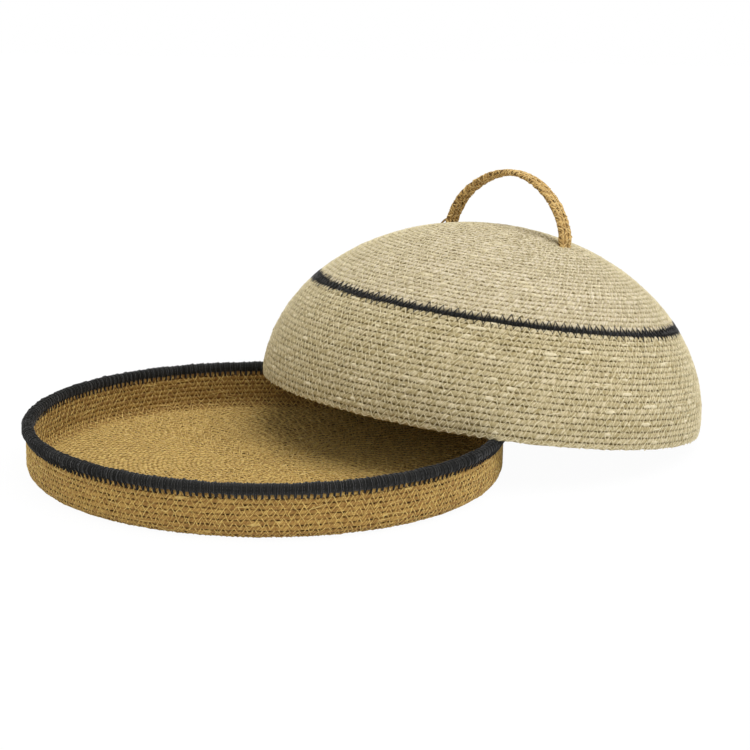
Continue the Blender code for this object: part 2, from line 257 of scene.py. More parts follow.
# %% The cover's line and place
DOME_POINTS = 401
HEM_BEND = 1.5  # 1 would lean the hem in straight, more bends it
half_turn = np.radians(np.linspace(90, 0, DOME_POINTS))
foot = COVER_ROW / 2
half = COVER_THICKNESS / 2
cover_radius = np.append((COVER_RADIUS - half) * np.cos(half_turn), COVER_RADIUS - half)
cover_height = np.append(foot + (COVER_HEIGHT - half - foot) * np.sin(half_turn), 0.0)
cover_radius -= HEM_TURN_IN * np.maximum(0, 1 - cover_height / HEM_TURN_HEIGHT) ** HEM_BEND

rim_circle = TRAY_RADIUS - RIM_CORD / 2
hem_way = np.array([cover_radius[-1] - cover_radius[-2], cover_height[-1] - cover_height[-2]])
hem_way /= np.linalg.norm(hem_way)
edge_radius = cover_radius[-1] - hem_way[1] * SEAM_THICKNESS / 2
edge_height = hem_way[0] * SEAM_THICKNESS / 2
crossing = (COVER_OFFSET ** 2 + rim_circle ** 2 - edge_radius ** 2) / (2 * COVER_OFFSET)
tilt = math.asin((TRAY_HEIGHT + GAP) / (COVER_OFFSET - crossing + edge_radius))
lie = Matrix.Translation((
    COVER_OFFSET * math.cos(COVER_BEARING), COVER_OFFSET * math.sin(COVER_BEARING),
    edge_radius * math.sin(tilt) - edge_height * math.cos(tilt)))
lie = lie @ Matrix.Rotation(tilt, 4, (-math.sin(COVER_BEARING), math.cos(COVER_BEARING), 0.0))
print("the cover is tilted by", round(math.degrees(tilt), 2), "degrees")

# %% The cover's rows
HANDLE_HALF_SPAN = 58.0 * MM
HANDLE_OFF_CENTRE = 2.7 * MM  # the handle is a little off the middle, towards its right foot
HANDLE_YAW = math.radians(-38.5)


def foot_along(side):
    """How far along the cover's line a foot of the handle is, 1 for the right one, -1 for the left."""
    index = int(np.argmax(cover_radius >= HANDLE_HALF_SPAN + side * HANDLE_OFF_CENTRE))
    return lengths_of(np.column_stack([cover_radius, cover_height]))[index]


cover = Wall(
    radius=cover_radius, height=cover_height, row=COVER_ROW, thickness=COVER_THICKNESS, out=-1,
    start=COVER_BEARING + math.radians(90.0), matrix=lie,
    slits=[(HANDLE_YAW, foot_along(1)), (HANDLE_YAW + math.pi, foot_along(-1))])
band_along = cover.along[int(np.argmax(cover.line[:, 1] <= BAND_HEIGHT))]
BLACK_TURN = round(band_along / cover.row) - 1
print("the cover has", cover.turns, "rows,", round(float(cover.cord_marks[-1]), 1),
      "m of cord, and row", BLACK_TURN, "is black")

# %% [markdown]
# Colours and the nodes of a material
#
# The colours are given as sRGB hex values and turned into linear light by one function.
# Another starts a material with an even surface, since all grass and thread is matt. A third adds a
# shader node with its settings and links, which keeps the materials short enough to read. It takes
# inputs by name, or by number where a node has several of one name. The numbers of a Map Range are
# 0 for the value, 1 and 2 for what it comes from and 3 and 4 for what it goes to, and those of a Mix
# of colours are 0 for the share and 6 and 7 for the two colours.

# %% Three helpers for materials
def linear(colour):
    """An sRGB hex colour as linear red, green, blue and alpha."""
    channels = np.array([int(colour[i:i + 2], 16) for i in (1, 3, 5)]) / 255
    light = np.where(channels <= 0.04045, channels / 12.92, ((channels + 0.055) / 1.055) ** 2.4)
    return (*[float(value) for value in light], 1.0)


def add(tree, kind, inputs, **settings):
    """Adds a shader node. An input is linked if it is given a socket, and set otherwise."""
    made = tree.nodes.new("ShaderNode" + kind)
    for name, value in settings.items():
        setattr(made, name, value)
    for name, value in inputs.items():
        if isinstance(value, bpy.types.NodeSocket):
            tree.links.new(value, made.inputs[name])
        else:
            made.inputs[name].default_value = value
    return made


def new_material(name, roughness, gloss, sheen=0.0):
    """A material with an even surface, and its tree and surface node to build on."""
    material = bpy.data.materials.new(name)
    material.use_nodes = True
    surface = material.node_tree.nodes["Principled BSDF"]
    surface.inputs["Roughness"].default_value = roughness
    surface.inputs["Specular IOR Level"].default_value = gloss
    surface.inputs["Sheen Weight"].default_value = sheen
    return material, material.node_tree, surface


print("the sRGB grey #808080 is", round(linear("#808080")[0], 3), "in linear light")


# %% [markdown]
# Twisted seagrass
#
# Seagrass is a marsh plant, dried and twisted into cord. Its blades run round the cord at a slant,
# dull on the flat of a blade and a little shiny along its edge. The colour changes every few
# millimetres, where a new blade comes to the top, and slowly along the cord, where a new bundle
# starts. So the patterns have to follow the cord and not the room: the map of each cord holds the
# metres along it and the share of the way round it. Round the cord a pattern must meet itself, so
# the angle is turned into a sine and a cosine, and the twist is an angle that grows with length.
#
# The attribute "crest" is 1 on the outside of a row, -1 on its inside and 0 between rows. The
# material paints the shade of the seams with it, and the shade of the inner side.

# %% The material of the cords
CORD_MAP = "cord"
CORD_RADIUS = 2.2 * MM
TWIST = 13.0 * MM        # length of cord in which the blades go round once
BLADE_WIDTH = 0.9 * MM   # real blades split finer, but would not show from a step away
BLADE_SHOWS = 16.0 * MM  # length of a blade on top of the cord
PATCH = 4.0 * MM         # length of a dull or stained place
PIT_SHOWS = 2.2 * MM     # length of a painted pit of shade between two rows
BUNDLE = 180.0 * MM      # length of cord between one bundle of grass and the next
BLADE_RELIEF = 0.5 * MM  # how far a blade stands out of the cord
FINE, SMOOTH = 2.0, 1.0  # detail of a noise
# Map Ranges: the noise or the crest where a colour starts and where it shows most, and how much
PALE_RANGE = {1: 0.42, 2: 0.72}
DULL_RANGE = {1: 0.43, 2: 0.62, 4: 0.95}
BUNDLE_RANGE = {1: 0.40, 2: 0.60, 4: 0.80}
# the last three paint shade: pits along the seams, the seams between the rows, and the inner side
SHADE_PIT_RANGE = {1: 0.46, 2: 0.58}
SEAM_SHADE_RANGE = {1: 0.90, 2: 0.62}
INNER_SHADE_RANGE = {1: 0.20, 2: -0.20}
WORN_RANGE = {1: 0.35, 2: 0.65}


def seagrass(name, middle, pale, deep, tint, shade=0.5, inner=0.0, roughness=0.82, sheen=0.0, gloss=0.3):
    """Dried and twisted blades: dull, streaked along the twist, with shade painted between the rows.

    Shade is how much of the deep colour is painted between the rows as their shade, and inner how much is
    painted on the inner side as its shade.
    """
    material, tree, surface = new_material(name, roughness, gloss, sheen)
    place = add(tree, "SeparateXYZ", {0: add(tree, "UVMap", {}, uv_map=CORD_MAP).outputs[0]})
    along = place.outputs[0]
    turned = add(tree, "Math", {0: along, 1: math.tau / TWIST}, operation="MULTIPLY").outputs[0]
    angle = add(tree, "Math", {0: place.outputs[1], 1: math.tau, 2: turned}, operation="MULTIPLY_ADD")
    across = add(tree, "Math", {0: angle.outputs[0]}, operation="COSINE").outputs[0]
    upward = add(tree, "Math", {0: angle.outputs[0]}, operation="SINE").outputs[0]
    ring = add(tree, "CombineXYZ", {0: along, 1: across, 2: upward}).outputs[0]

    def pattern(length, width, detail):
        """Noise with grains of this length along the cord and this width round it."""
        spread = CORD_RADIUS / width
        grains = add(tree, "Mapping", {0: ring, 3: (1 / length, spread, spread)})
        return add(tree, "TexNoise", {0: grains.outputs[0], 2: 1.0, 3: detail}).outputs[0]

    blades = pattern(BLADE_SHOWS, BLADE_WIDTH, FINE)
    patches = pattern(PATCH, 2 * BLADE_WIDTH, FINE)
    bundles = pattern(BUNDLE, 20 * BLADE_WIDTH, SMOOTH)
    light = add(tree, "MapRange", {0: blades, **PALE_RANGE}).outputs[0]
    dull = add(tree, "MapRange", {0: patches, **DULL_RANGE}).outputs[0]
    other = add(tree, "MapRange", {0: bundles, **BUNDLE_RANGE}).outputs[0]
    crest = add(tree, "Attribute", {}, attribute_name="crest").outputs["Fac"]
    height = add(tree, "Math", {0: crest}, operation="ABSOLUTE").outputs[0]
    # painted shade: the deep colour stands in for the shade between the rows and in pits along the seams
    painted_shade = add(tree, "MapRange", {0: height, 4: shade, **SEAM_SHADE_RANGE}).outputs[0]
    pits = pattern(PIT_SHOWS, PIT_SHOWS, SMOOTH)
    painted_pits = add(tree, "MapRange", {0: pits, **SHADE_PIT_RANGE}).outputs[0]
    painted_shade = add(tree, "Math", {0: painted_shade, 1: painted_pits}, operation="MULTIPLY").outputs[0]
    # painted shade: the inner side of a wall gets the deep colour, standing in for its shade
    painted_inner_shade = add(tree, "MapRange", {0: crest, 4: inner, **INNER_SHADE_RANGE}).outputs[0]
    painted_shade = add(tree, "Math", {0: painted_shade, 1: painted_inner_shade}, operation="MAXIMUM").outputs[0]
    colour = add(tree, "Mix", {0: other, 6: linear(middle), 7: linear(tint)}, data_type="RGBA")
    colour = add(tree, "Mix", {0: light, 6: colour.outputs[2], 7: linear(pale)}, data_type="RGBA")
    colour = add(tree, "Mix", {0: dull, 6: colour.outputs[2], 7: linear(tint)}, data_type="RGBA")
    colour = add(tree, "Mix", {0: painted_shade, 6: colour.outputs[2], 7: linear(deep)}, data_type="RGBA")
    tree.links.new(colour.outputs[2], surface.inputs["Base Color"])
    relief = add(tree, "Bump", {"Height": blades, "Strength": 0.7, "Distance": BLADE_RELIEF})
    tree.links.new(relief.outputs[0], surface.inputs["Normal"])
    return material


bleached = seagrass("bleached_twisted_seagrass", "#BFB08B", "#D8CCAC", "#463915", "#998A5E")
# painted light: the crown's grass is a paler copy of the skirt's, lighter as painted light from above,
# and a little greyer
top_lit_crown_grass = seagrass("bleached_seagrass_painted_top_lit_on_the_crown", "#C7BA9F", "#DDD3BB", "#5A4D2C", "#AB9D7A", shade=0.4)
# inner paints shade on the inside of the tray's wall
smoked = seagrass("brown_twisted_seagrass", "#A07D3F", "#C3A35B", "#3A2708", "#84602F", inner=0.25)
# painted light: the floor's grass is a lighter copy of the wall's, painted lighter as light from above
top_lit_floor_grass = seagrass("brown_seagrass_painted_top_lit_on_the_floor", "#AF8F4F", "#CDB26F", "#3E2C0C", "#8A6B34")
strap = seagrass("brown_seagrass_strap_cord", "#C5A05D", "#E4C684", "#4A3210", "#9C7944", shade=0.9)
dyed = seagrass("black_dyed_seagrass", "#131310", "#1C1B18", "#090907", "#0D0D0B", roughness=0.75,
                sheen=0.22, gloss=0.12)
print("grasses:", [grass.name for grass in (bleached, top_lit_crown_grass, smoked, top_lit_floor_grass, strap, dyed)])

# %% [markdown]
# Sewing thread
#
# The rows are sewn by machine with spun thread, about as thick as strong button thread. It is paler
# than the grass, a little hairy, and so thin that only its colour and a soft edge of light show. A
# single loose blade and the shade inside an open seam are as plain, so one function makes them all.

# %% The materials of threads, blades and the painted shade in seams
THREAD_GRAIN = 2.5 * MM  # lighter and darker stretches of a worn thread


def matt_fibre(name, light, dark, sheen=0.15, gloss=0.25, roughness=0.75):
    """Thread, or a single blade: matt, with the soft edge of light that loose hairs give."""
    material, tree, surface = new_material(name, roughness, gloss, sheen)
    where = add(tree, "TexCoord", {}).outputs["Object"]
    worn = add(tree, "TexNoise", {0: where, 2: 1 / THREAD_GRAIN, 3: FINE}).outputs[0]
    share = add(tree, "MapRange", {0: worn, **WORN_RANGE}).outputs[0]
    colour = add(tree, "Mix", {0: share, 6: linear(dark), 7: linear(light)}, data_type="RGBA")
    tree.links.new(colour.outputs[2], surface.inputs["Base Color"])
    return material


pale_thread = matt_fibre("pale_spun_thread", "#DFD4AF", "#C8BB93")
straw_thread = matt_fibre("straw_coloured_spun_thread", "#D8BA6C", "#B3934C")
strap_thread_colour = matt_fibre("light_brown_spun_thread", "#DFC182", "#BE9F60")
black_thread = matt_fibre("black_spun_thread", "#141411", "#0C0C0A", sheen=0.2, gloss=0.06)
pale_blade = matt_fibre("bleached_seagrass_blade", "#D6CAAA", "#C6B993")
straw_blade = matt_fibre("dry_seagrass_blade", "#C9AC68", "#AD8E4A")
# painted shade: dark matt materials for the cores that stand for the shade inside open seams; the crown's
# is lighter, like the crown's grass
skirt_seam_shade = matt_fibre("shaded_inside_of_bleached_coil", "#64552E", "#483A1A", sheen=0.0, gloss=0.1)
crown_seam_shade = matt_fibre("shaded_inside_of_the_crown", "#8D7E58", "#716340", sheen=0.0, gloss=0.1)
brown_seam_shade = matt_fibre("shaded_inside_of_brown_coil", "#3F290C", "#2B1B06", sheen=0.0, gloss=0.1)
print("materials made so far:", len(bpy.data.materials))

# %% [markdown]
# A cord as a mesh
#
# Blender gives any curve a round section with its bevel. Many thin cords can share one curve
# object, each as a spline, and a radius on every point lets a cord swell or thin out. The curve is
# then made a mesh, because the patterns need a map and an attribute, and those belong to meshes.

# %% Tubes from points
def placed(name, data):
    """A new object in the scene."""
    made = bpy.data.objects.new(name, data)
    bpy.context.scene.collection.objects.link(made)
    return made


THREAD_BEVEL = 0  # a thread has 4 sides, too thin to show more
BLADE_BEVEL = 1   # a blade has 6
CORD_BEVEL = 2    # a cord has 8
ROUND_BEVEL = 3   # the cords of the rim and the strap have 10


def tube(name, runs, thickness, bevel, material, closed=False):
    """One mesh of round cords. A run is points, and the share of the thickness, one or one for each."""
    curve = bpy.data.curves.new(name, "CURVE")
    curve.dimensions = "3D"
    curve.twist_mode = "MINIMUM"
    curve.bevel_depth = thickness / 2
    curve.bevel_resolution = bevel
    curve.use_fill_caps = not closed
    for points, shares in runs:
        spline = curve.splines.new("POLY")
        spline.points.add(len(points) - 1)
        spline.points.foreach_set("co", np.column_stack([points, np.ones(len(points))]).ravel())
        spline.points.foreach_set("radius", np.ones(len(points)) * shares)
        spline.use_cyclic_u = closed
    helper = placed(name, curve)
    shown = helper.evaluated_get(bpy.context.evaluated_depsgraph_get())
    mesh = bpy.data.meshes.new_from_object(shown)
    bpy.data.objects.remove(helper)
    bpy.data.curves.remove(curve)
    mesh.name = name
    mesh.shade_smooth()
    mesh.materials.append(material)
    mesh.calc_loop_triangles()
    print(name, "has", len(mesh.loop_triangles), "triangles")
    return placed(name, mesh)


CENTRE = 0.01 * MM  # nearer to its middle than this, a cord has no outer side


def map_cord(piece, points, facing, length, closed=False, flatness=1.0):
    """Presses a cord flat, gives it its map in metres, and marks its outer and its inner side.

    The mesh lists the two end caps of an open cord first, and then a ring for each point.
    """
    mesh = piece.data
    layer = mesh.uv_layers[0]
    layer.name = CORD_MAP
    spots = np.empty(len(layer.data) * 2, np.float32)
    layer.data.foreach_get("uv", spots)
    spots[0::2] *= length
    layer.data.foreach_set("uv", spots)
    places = np.empty(len(mesh.vertices) * 3, np.float32)
    mesh.vertices.foreach_get("co", places)
    order = np.arange(len(points))
    rings = order if closed else np.concatenate([[order[-1], order[0]], order])
    owner = np.repeat(rings, len(mesh.vertices) // len(rings))
    apart = places.reshape(-1, 3) - points[owner]
    size = np.linalg.norm(apart, axis=1)
    outward = np.sum(apart * facing[owner], axis=1)
    crest = outward / np.maximum(size, CENTRE)
    pressed = places.reshape(-1, 3) - facing[owner] * (outward * (1 - flatness))[:, None]
    mesh.vertices.foreach_set("co", pressed.astype(np.float32).ravel())
    mark = mesh.attributes.new("crest", "FLOAT", "POINT")
    mark.data.foreach_set("value", crest.astype(np.float32))


# %% [markdown]
# The cords
#
# No two hand's breadths of a real coil are alike. The cord swells and thins, and its rows wander a
# little out of the wall and sideways. A few slow waves of unlike length, each started at a random
# place, give that without any pattern that the eye can find. They depend on the length along
# the cord, so neighbouring rows differ, and the thread can ask where the row under it is.

# %% Waves along a cord
rng = np.random.default_rng(11)


def waves(lengths, height):
    """A smooth uneven line: a function of the length along a cord, about as high as height."""
    starts = rng.uniform(0, math.tau, len(lengths))

    def line(cord):
        total = sum(np.sin(math.tau * cord / long + start) for long, start in zip(lengths, starts))
        return height * total / math.sqrt(len(lengths))

    return line


SWELL_SHARE = 0.10  # of its thickness, by which a cord swells and thins
wander_out = waves([19 * MM, 31 * MM, 53 * MM, 97 * MM], 0.16 * MM)
wander_beside = waves([13 * MM, 23 * MM, 41 * MM, 71 * MM], 0.17 * MM)
swell = waves([7.3 * MM, 7.9 * MM, 12 * MM, 29 * MM, 47 * MM], SWELL_SHARE)
print("in its first 3 cm a cord wanders by",
      [round(float(wander_out(cord)) / MM, 2) for cord in (0, 10 * MM, 20 * MM, 30 * MM)], "mm")

# %% Laying a stretch of coil
STEP = 2.2 * MM        # between the rings of a cord
START_SHARE = 0.85     # of its thickness, which the cord has in the middle
START_RINGS = 12       # in which it would grow by its whole thickness
BLACK_FULLNESS = 0.95  # the black row is drawn in by its thread


def coil(name, wall, first, last, material, fullness=CORD_FULLNESS):
    """The cord of a wall from one turn to another."""
    start, end = wall.cord_length(first), wall.cord_length(last)
    cord = np.linspace(start, end, int((end - start) / STEP))
    turns = wall.turns_at(cord)
    along = wall.row_centre(turns) + wander_beside(cord)
    points, facing = wall.at(turns, along, wander_out(cord))
    shares = wall.taper(turns) * wall.spacing(turns) * (1 + swell(cord))
    if first == 0:
        shares = shares * np.clip(START_SHARE + np.arange(len(shares)) / START_RINGS, 0, 1)
    piece = tube(name, [(points, shares)], wall.row * fullness, CORD_BEVEL, material)
    map_cord(piece, points, facing, end - start, flatness=wall.flatness)
    return piece


tray_floor = coil("tray_floor_coil", tray, 0, FLAT_TURNS, top_lit_floor_grass)
tray_wall = coil("tray_wall_coil", tray, FLAT_TURNS, tray.end, smoked)
cover_crown = coil("cover_crown_coil", cover, 0, BLACK_TURN, top_lit_crown_grass)
cover_row = coil("cover_black_row", cover, BLACK_TURN, BLACK_TURN + 1, dyed, BLACK_FULLNESS)
cover_skirt = coil("cover_skirt_coil", cover, BLACK_TURN + 1, cover.end, bleached)

# %% The knots in the middle
KNOT_REACH_SHARE = 0.90  # of a row, from the middle to each end of the knot
KNOT_WIDTH_SHARE = 1.5   # of a row: the knot is spread wide and pressed as flat as the rows
KNOT_LINE = ((1.0, 0.25), (0.5, 0.25), (0.0, 0.25), (0.5, 0.75), (1.0, 0.75))  # reach and turn
KNOT_SWELLS = (0.8, 1.0, 1.1, 1.0, 0.8)


def knot(name, wall, material):
    """The start of a coil: its cord, bent back through the middle and drawn tight."""
    reaches, turns = np.array(KNOT_LINE).T
    along = wall.row * KNOT_REACH_SHARE * reaches
    points, facing = wall.at(turns, along, np.zeros(len(turns)))
    width = wall.row * KNOT_WIDTH_SHARE
    piece = tube(name, [(points, KNOT_SWELLS)], width, CORD_BEVEL, material)
    map_cord(piece, points, facing, 2 * along[0], flatness=2 * wall.top / width)
    return piece


tray_knot = knot("tray_floor_knot", tray, top_lit_floor_grass)
cover_knot = knot("cover_crown_knot", cover, top_lit_crown_grass)

# %% [markdown]
# Zigzag stitches
#
# The needle goes in beside the seam, first in the row above and then in the row below, so each leg of
# the zigzag crosses the seam at a slant. The thread pulls a small pit where it goes in and lies
# proud over the seam. Each leg has only two pieces of a square tube, because there are tens of
# thousands of legs. The same zigzag is on the back, where the second thread of the machine runs.
#
# Beside each needle hole the rows are pulled apart and the shade inside the coil shows. Holes
# cut into the cord would cost far more, so the shade is painted: each is a short dark core laid into the
# seam.

# %% Sewing
STITCH = 3.75 * MM              # from one needle hole to the next, along the seam
UNEVEN_STITCH = 0.17            # how much the length of the stitches varies
UNEVEN_REACH = 0.18             # and how far they reach
SHORTEST_SHARE = 0.5            # of a stitch
SPARE_SHARE = 1.1               # more stitches than needed are drawn, and cut off at the end
LEAN = 0.18                     # how much longer every second leg is, which slants
REACH_SHARE = 0.70              # of a row, from the seam to a needle hole
TRAY_REACH_SHARE = 0.78
THREAD = 0.74 * MM              # diameter
PIT = 0.28 * MM                 # how deep a needle hole lies below the top of the row
BRIDGE = 0.02 * MM              # how far the thread over the seam lies below the tops
GAP_LENGTH = 1.9 * MM
GAP_LENGTH_SHARES = (0.5, 1.4)  # the shortest and the longest
GAP_WIDTH = 1.25 * MM
GAP_SUNK = 0.95 * MM            # how deep the middle of a gap's dark core lies
GAP_SUNK_VARIES = 0.15 * MM
GAP_SHARE = 0.06                # of a row, from the seam towards the needle hole


def stitch_marks(start, end, step, lean=0.0):
    """Where the needle goes in, with stitches of uneven length, every second one longer by lean."""
    count = int((end - start) / step * SPARE_SHARE)
    lengths = np.maximum(rng.normal(1, UNEVEN_STITCH, count), SHORTEST_SHARE)
    lengths[0::2] -= lean
    lengths[1::2] += lean
    marks = start + np.cumsum(step * lengths)
    return marks[marks < end]


def zigzag(place, marks, above, below, top, uneven=UNEVEN_REACH):
    """The points of a thread. place(mark, beside, out) gives the points of the surface."""
    count = len(marks)
    beside = np.where(np.arange(count) % 2 == 0, below, -above) * (1 + rng.normal(0, uneven, count))
    points = np.empty((2 * count - 1, 3))
    points[0::2] = place(marks, beside, top - PIT)
    points[1::2] = place((marks[1:] + marks[:-1]) / 2, (beside[1:] + beside[:-1]) / 2, top - BRIDGE)
    return points


def painted_seam_shade_cores(name, wall, place, marks, material):
    """A short dark core of painted shade in the seam beside every needle hole, each of its own length and
    width.
    """
    count = len(marks)
    half = GAP_LENGTH / 2 * rng.uniform(*GAP_LENGTH_SHARES, count)
    ends = np.column_stack([marks - half, marks + half]).ravel()
    side = np.where(np.arange(count) % 2 == 0, GAP_SHARE, -GAP_SHARE)
    beside = np.repeat(wall.row * (side + rng.normal(0, GAP_SHARE, count)), 2)
    depth = np.repeat(GAP_SUNK + rng.normal(0, GAP_SUNK_VARIES, count), 2)
    points = place(ends, beside, wall.top - depth).reshape(count, 2, 3)
    return tube(name, [(pair, 1.0) for pair in points], GAP_WIDTH, THREAD_BEVEL, material)


def sew(name, wall, first, last, outside, material, above=REACH_SHARE, below=REACH_SHARE,
        step=STITCH, thread=THREAD, lean=LEAN, seam_shade=None):
    """Sews the seam under the row of each turn, on the outer or the inner side of a wall.

    seam_shade is the material of the painted shade in the seam: dark cores where the thread pulls the
    rows apart.
    """
    def place(cord, beside, top):
        turns = wall.turns_at(cord)
        seam = (wall.row_centre(turns) + wall.row_centre(turns + 1)) / 2
        under = (wander_out(cord) + wander_out(wall.cord_length(turns + 1))) / 2
        return wall.at(turns, seam + beside, under + top * (1 if outside else -1))[0]

    start, end = wall.cord_length(first), wall.cord_length(last)
    marks = stitch_marks(start, end, step, lean)
    points = zigzag(place, marks, wall.row * above, wall.row * below, wall.top)
    pieces = [tube(name, [(points, 1.0)], thread, THREAD_BEVEL, material)]
    if seam_shade:
        pieces.append(painted_seam_shade_cores(name.replace("stitches", "gaps"), wall, place, marks, seam_shade))
    return pieces


# %% The seams of the tray
SEWN_FROM = 0.2            # turns: further in, the first knot is too tight to sew
LAST_SEAM = 1 + END_SHARE  # turns before the end of the cord
TRAY_SEAMS = (("tray_floor_stitches_top", SEWN_FROM, FLAT_TURNS, False, brown_seam_shade),
              ("tray_floor_stitches_under", SEWN_FROM, FLAT_TURNS, True, None),
              ("tray_wall_stitches_outside", FLAT_TURNS, tray.end - LAST_SEAM, True, brown_seam_shade),
              ("tray_wall_stitches_inside", FLAT_TURNS, tray.end - LAST_SEAM, False, brown_seam_shade))
tray_stitches = []
for name, first, last, outside, seam_shade in TRAY_SEAMS:
    tray_stitches.extend(sew(name, tray, first, last, outside, straw_thread, above=TRAY_REACH_SHARE,
                             below=TRAY_REACH_SHARE, lean=-LEAN / 2, seam_shade=seam_shade))

# %% The seams of the cover
HEM_SHARE = 0.30  # of a row: the stitches of the hem stay on its last row
FACES = (("outside", True), ("inside", False))
# name, first and last turn, reach as a share of a row, and the painted seam shade of the outer side
COVER_SEAMS = (("crown", SEWN_FROM, BLACK_TURN - 1, REACH_SHARE, crown_seam_shade),
               ("skirt", BLACK_TURN + 1, cover.end - LAST_SEAM, REACH_SHARE, skirt_seam_shade),
               ("hem", cover.end - 1, cover.end - END_SHARE, HEM_SHARE, None))
cover_stitches = []
for part, first, last, reach, seam_shade in COVER_SEAMS:
    for face, outside in FACES:
        cover_stitches.extend(sew("cover_" + part + "_stitches_" + face, cover, first, last, outside,
                                  pale_thread, above=reach, below=reach, seam_shade=seam_shade if outside else None))

# %% The black zigzags above and below the black row
BLACK_STITCH = 3.0 * MM
BLACK_REACH_SHARE = 0.80  # black legs cross most of the pale row
BLACK_THREAD = 1.15 * MM
BLACK_GRIP_SHARE = 0.90   # of a row: how far a leg goes over the black row
BLACK_LEAN = 0.25
BLACK_SEAMS = (("above", BLACK_TURN - 1, BLACK_REACH_SHARE, BLACK_GRIP_SHARE),
               ("below", BLACK_TURN, BLACK_GRIP_SHARE, BLACK_REACH_SHARE))
row_stitches = []
for face, outside in FACES:
    for seam, turn, above, below in BLACK_SEAMS:
        row_stitches.extend(sew("cover_black_stitches_" + seam + "_" + face, cover, turn, turn + 1,
                                outside, black_thread, above=above, below=below,
                                step=BLACK_STITCH, thread=BLACK_THREAD, lean=BLACK_LEAN))

# %% [markdown]
# The rim
#
# A thicker black cord closes the top of the tray's wall. Black thread goes over it and through the
# first brown row, to and fro, so it shows as ribs on the cord and as small black arrows on both
# sides of the wall. The cord is pinched under each thread.

# %% The rim cord
RIM_STITCH = 2.3 * MM  # from one thread over the rim to the next
RIM_CENTRE = TRAY_HEIGHT - RIM_CORD / 2
RIB = 0.12 * MM        # how far a thread stands out of the cord
PINCH = 0.05           # how much thinner the cord is under every second thread
PINCH_UNEVEN = 6       # times the swell of the cord, by which the pinch varies
RIM_SWELL_SHARE = 0.7  # the thick cord swells less than the others
RIM_SAG_SHARE = 0.5    # and wanders less up and down
rim_length = math.tau * rim_circle
rim_count = 2 * round(rim_length / RIM_STITCH / 2)
rim_points = 2 * rim_count
rim_way = np.linspace(0, math.tau, rim_points, endpoint=False)
rim_cord = rim_way * rim_circle
rim_out = np.column_stack([np.cos(rim_way), np.sin(rim_way), np.zeros(rim_points)])
rim_line = rim_out * (rim_circle + wander_beside(rim_cord)[:, None])
rim_line[:, 2] = RIM_CENTRE + wander_out(rim_cord) * RIM_SAG_SHARE
pinch = PINCH * np.cos(math.pi * rim_cord / rim_length * rim_count)
pinch *= 1 + PINCH_UNEVEN * swell(rim_cord / 3)
rim_shares = 1 + pinch + swell(rim_cord) * RIM_SWELL_SHARE
rim = tube("tray_rim_cord_black", [(rim_line, rim_shares)], RIM_CORD - 2 * RIB, ROUND_BEVEL, dyed,
           closed=True)
map_cord(rim, rim_line, rim_out, rim_length, closed=True)

# %% The thread over the rim
RIM_THREAD = 1.15 * MM
HOLE_BELOW = 3.4 * MM      # from the top of the wall down to the needle holes
HOLE_SHARES = (0.8, 1.15)  # of that, for the nearest and the farthest hole
RIB_SHARES = (0.3, 1.0)    # of the rib, for the lowest and the highest thread
KINK_SHARE = 0.05          # of a stitch, by which the points of a thread stray
STRAY_SHARE = 0.07         # and the whole thread
over = np.radians([-50, -20, 15, 50, 90, 130, 165, 200, 230])
SLANT = np.concatenate([[0.32, 0.28], np.linspace(0.18, -0.18, len(over) - 2), [-0.28, -0.32]])
wall_top = tray.line[-1, 1]
threads = []
for crossing_number in range(rim_count):
    turn = math.tau * crossing_number / rim_count
    way_over = -1 if crossing_number % 2 else 1
    shift = SLANT * way_over + rng.normal(0, KINK_SHARE, len(SLANT)) + rng.normal(0, STRAY_SHARE)
    shift = shift * RIM_STITCH / rim_circle
    share = 1 + PINCH * way_over + swell(turn * rim_circle) * RIM_SWELL_SHARE
    lift = (RIM_CORD / 2 - RIB) * share + RIB * rng.uniform(*RIB_SHARES)
    beside = np.cos(over) * lift + rim_circle - wall_line
    beside = np.concatenate([[tray_half], beside, [-tray_half]])
    hole = wall_top - HOLE_BELOW * rng.uniform(*HOLE_SHARES, 2)
    height = np.concatenate([[hole[0]], RIM_CENTRE + np.sin(over) * lift, [hole[1]]])
    radius = wall_line + beside
    points = np.column_stack([radius * np.cos(turn + shift), radius * np.sin(turn + shift), height])
    threads.append((points, 1.0))
rim_thread = tube("tray_rim_stitches", threads, RIM_THREAD, THREAD_BEVEL, black_thread)

# %% [markdown]
# The handle
#
# The strap is three cords of the brown grass, laid side by side and sewn on both faces. It rises in
# a round arch, goes down through the crown at both feet, and is folded flat against the inside,
# where the ends are sewn down. The arch is an ellipse drawn a little towards a point.

# %% The line of the strap
HANDLE_CORD = 5.4 * MM         # diameter
LANE = 5.1 * MM                # from the middle of one cord to the middle of the next
STRAP_FLATNESS = 0.85          # the cords are pressed to this share of their thickness
HANDLE_RISE = 52.2 * MM        # above the feet
HANDLE_ROUNDNESS_SHARE = 0.91  # 1 would be a true ellipse, less is more pointed
HANDLE_FOLD = 3.4 * MM         # radius of the fold under the crown
HANDLE_TAIL = 18.0 * MM
TAIL_SHARES = (0.6, 1.0)       # of the tail, where its line has a point
HANDLE_TAIL_SEAT = 0.6 * MM    # from the tails to the inside of the crown
HANDLE_STEP = 2.0 * MM         # between the rings of a cord
FOLD_POINTS = 9
ARCH_POINTS = 61


